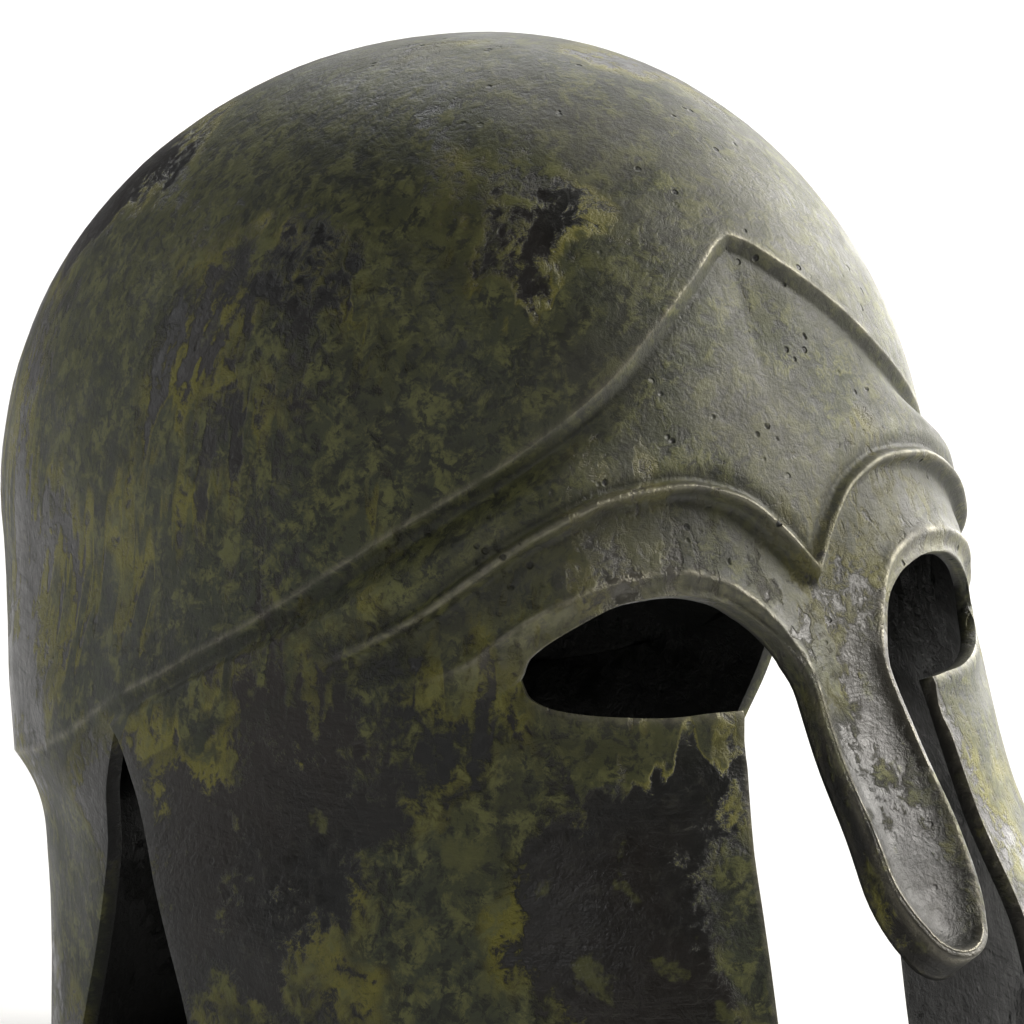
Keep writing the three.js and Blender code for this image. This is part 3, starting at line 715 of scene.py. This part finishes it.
parts = add("ShaderNodeSeparateXYZ", i0=where)
across, depth_y, height = (parts.outputs[k] for k in "XYZ")
worn_and_highlight_mark, grime_and_shade_mark, inside_mark = mark("worn_and_highlight"), mark("grime_and_shade"), mark("inside")
granular = grain(330, 5, 0.72, 0.4)
crumbs = grain(150, 7, 0.72, 0.5, offset=(0.11, 0.3, 0.2))

# the patina ran down while it was wet: each narrow streak is shifted down by its own length
streak = grain(170, 2, 0.5, stretch=(1, 1, 0.045), offset=(0.3, 0.2, 0.1))
run_zone = times(spread(height, 0.095, 0.13), spread(height, 0.235, 0.19))
run = times(spread(streak, 0.36, 0.68), run_zone, 0.026)
drop = add("ShaderNodeCombineXYZ", Z=run)
lifted = add("ShaderNodeVectorMath", {"operation": "ADD"}, i0=where, i1=drop)
field = grain(19, 3.5, 0.5, 0.3, offset=(0.13, 0.41, 0.02), at=lifted)
field = plus(field, times(spread(height, 0.120, 0.185), 0.065))
ragged = plus(field, times(math_of("SUBTRACT", crumbs, 0.5), 0.30))
ragged = plus(ragged, times(math_of("SUBTRACT", granular, 0.5), 0.26))
olive_share = spread(ragged, 0.425, 0.525)
brim = times(spread(ragged, 0.44, 0.49), spread(ragged, 0.56, 0.50), spread(field, 0.56, 0.50))

dark = blend_colour(
    spread(grain(11, 5, 0.6), 0.40, 0.62), (0.0075, 0.0080, 0.0070), (0.0150, 0.0115, 0.0085)
)
dark = blend_colour(spread(granular, 0.52, 0.72, 0, 0.5), dark, (0.035, 0.034, 0.022))
tone = spread(grain(9, 6, 0.62, offset=(0.5, 0.9, 0.1)), 0.40, 0.62)
olive = blend_colour(tone, (0.036, 0.042, 0.022), (0.058, 0.061, 0.016))
clouds = grain(42, 5, 0.62, 0.4, offset=(0.2, 0.5, 0.6))
olive = blend_colour(spread(clouds, 0.52, 0.36, 0, 0.7), olive, (0.019, 0.020, 0.012))
olive = blend_colour(spread(crumbs, 0.46, 0.62, 0, 0.85), olive, (0.125, 0.128, 0.040))
olive = blend_colour(spread(granular, 0.53, 0.40, 0, 0.9), olive, (0.011, 0.013, 0.007))
colour = blend_colour(olive_share, dark, olive)
islands = times(spread(grain(75, 6, 0.6, offset=(0.8, 0.1, 0.6)), 0.60, 0.68), 0.8)
colour = blend_colour(islands, colour, (0.085, 0.088, 0.026))
yellow = times(brim, spread(grain(26, 4, 0.6, offset=(0.1, 0.7, 0.3)), 0.42, 0.6), 0.85)
colour = blend_colour(yellow, colour, (0.190, 0.175, 0.024))

# the forehead, the nose guard and the eye surrounds are paler: a pale dusty film, and a painted sheen
# standing in for the light these front faces reflect
front = times(spread(depth_y, -0.060, -0.095), spread(height, 0.130, 0.160))
slim = times(spread(math_of("ABSOLUTE", across), 0.036, 0.022), spread(height, 0.100, 0.140), 0.8)
front = math_of("MAXIMUM", front, slim)
pale_film_and_sheen = times(front, spread(grain(38, 7, 0.68, 0.3, offset=(0.7, 0.2, 0.4)), 0.30, 0.58))
colour = blend_colour(times(pale_film_and_sheen, 0.5), colour, (0.125, 0.120, 0.102))

# painted shade: grooves, the foot of the step and the coves are darkened, as dirt and as the shade that
# falls in them
grime_and_painted_shade = times(grime_and_shade_mark, spread(crumbs, 0.3, 0.6, 0.4, 1.0), 0.75)
colour = blend_colour(grime_and_painted_shade, colour, (0.014, 0.015, 0.008))
# painted highlight: crests and edges are lightened, as rubbed bronze and as the light they catch
rubbed_and_highlight = times(worn_and_highlight_mark, spread(crumbs, 0.34, 0.60, 0.2, 1.0))
colour = blend_colour(times(rubbed_and_highlight, 0.7), colour, (0.230, 0.215, 0.165))

# pinholes of the casting, mostly on the forehead
cells = add("ShaderNodeTexVoronoi", {"feature": "F1"}, Vector=where, Scale=210, Randomness=1.0)
chosen = spread(grain(60, 3, 0.6, offset=(0.2, 0.6, 0.9)), 0.55, 0.62)
pinholes = times(spread(cells.outputs["Distance"], 0.20, 0.10), chosen, plus(0.2, front))
colour = blend_colour(pinholes, colour, (0.006, 0.006, 0.004))
colour = blend_colour(inside_mark, colour, (0.0045, 0.0050, 0.0040))

# fine brushing across the cheekpieces and the band above them
brushed = grain(420, 3, 0.6, 0.2, stretch=(0.10, 0.10, 1.0), offset=(0.4, 0.1, 0.5))
brush_zone = times(
    spread(height, 0.175, 0.140), spread(grain(22, 4, 0.5, offset=(0.9, 0.4, 0.7)), 0.46, 0.58)
)
gloss = spread(grain(30, 4, 0.6, offset=(0.6, 0.3, 0.8)), 0.35, 0.65, 0.34, 0.46)
roughness = plus(gloss, times(olive_share, 0.16))
roughness = plus(roughness, times(math_of("SUBTRACT", granular, 0.5), 0.35))
roughness = math_of("SUBTRACT", roughness, times(rubbed_and_highlight, 0.16), True)
metal = math_of("ADD", 0.12, times(rubbed_and_highlight, 0.5), True)

tops = plus(times(olive_share, 0.9), times(granular, 0.9))
tops = plus(tops, times(crumbs, 0.8))
tops = plus(tops, times(brushed, brush_zone, 0.9))
tops = plus(tops, times(grain(1100, 2, 0.5), 0.25))
tops = math_of("SUBTRACT", tops, times(pinholes, 2.0))
bump = add("ShaderNodeBump", Strength=0.7, Distance=0.0005, Height=tops)

surface = add("ShaderNodeBsdfPrincipled", Normal=bump)
tree.links.new(colour.outputs[2], surface.inputs["Base Color"])
tree.links.new(roughness.outputs[0], surface.inputs["Roughness"])
tree.links.new(metal.outputs[0], surface.inputs["Metallic"])
add("ShaderNodeOutputMaterial", Surface=surface)
mesh.materials.append(bronze)

# ---- floor, light and camera --------------------------------------------------------------
# A plain pale floor under soft studio light; the view is three quarters from the wearer's
# right, a little above the helmet.

floor_mesh = bpy.data.meshes.new("floor")
floor_mesh.from_pydata([(-9, -9, 0), (9, -9, 0), (9, 9, 0), (-9, 9, 0)], [], [(0, 1, 2, 3)])
floor = bpy.data.objects.new("floor", floor_mesh)
bpy.context.scene.collection.objects.link(floor)
pale = bpy.data.materials.new("pale_floor")
pale.use_nodes = True
pale_surface = pale.node_tree.nodes["Principled BSDF"]
pale_surface.inputs["Base Color"].default_value = (0.9, 0.9, 0.9, 1)
pale_surface.inputs["Roughness"].default_value = 0.9
pale_surface.inputs["Specular IOR Level"].default_value = 0.1
floor_mesh.materials.append(pale)


def soft_light(name, place, size, power, colour=(1, 1, 1)):
    data = bpy.data.lights.new(name, "AREA")
    data.shape, data.size, data.energy, data.color = "DISK", size, power, colour
    lamp = bpy.data.objects.new(name, data)
    lamp.location = place
    lamp.rotation_euler = (Vector((0, 0, 0.13)) - Vector(place)).to_track_quat("-Z", "Y").to_euler()
    bpy.context.scene.collection.objects.link(lamp)


soft_light("key", (1.5, -0.75, 1.15), 1.0, 50, (1.0, 0.97, 0.92))
soft_light("right_wall", (2.6, 0.7, 0.55), 2.0, 80, (1.0, 0.98, 0.94))
soft_light("left_wall", (-1.2, 2.4, 0.8), 1.2, 8)
soft_light("sweep", (2.4, 3.0, 3.0), 3.0, 120)
soft_light("left_high", (-1.5, -0.3, 1.35), 0.35, 6)
world = bpy.data.worlds.new("studio")
world.use_nodes = True
world.node_tree.nodes["Background"].inputs["Color"].default_value = (1, 1, 1, 1)
world.node_tree.nodes["Background"].inputs["Strength"].default_value = 0.06
bpy.context.scene.view_settings.view_transform = "Standard"
bpy.context.scene.world = world

TURN, RISE, AWAY = math.radians(-38.71), math.radians(10.88), 1.356
SENSOR, SEEN_WIDTH = 36, 0.232727  # millimetres, and metres seen across at the target
target = Vector((0, 0, 0.150))
way = Vector((
    math.sin(TURN) * math.cos(RISE), -math.cos(TURN) * math.cos(RISE), math.sin(RISE),
))
lens = bpy.data.cameras.new("camera")
lens.sensor_width, lens.lens = SENSOR, SENSOR * AWAY / SEEN_WIDTH
camera = bpy.data.objects.new("camera", lens)
camera.location = target + way * AWAY
camera.rotation_euler = way.to_track_quat("Z", "Y").to_euler()
bpy.context.scene.collection.objects.link(camera)
bpy.context.scene.camera = camera
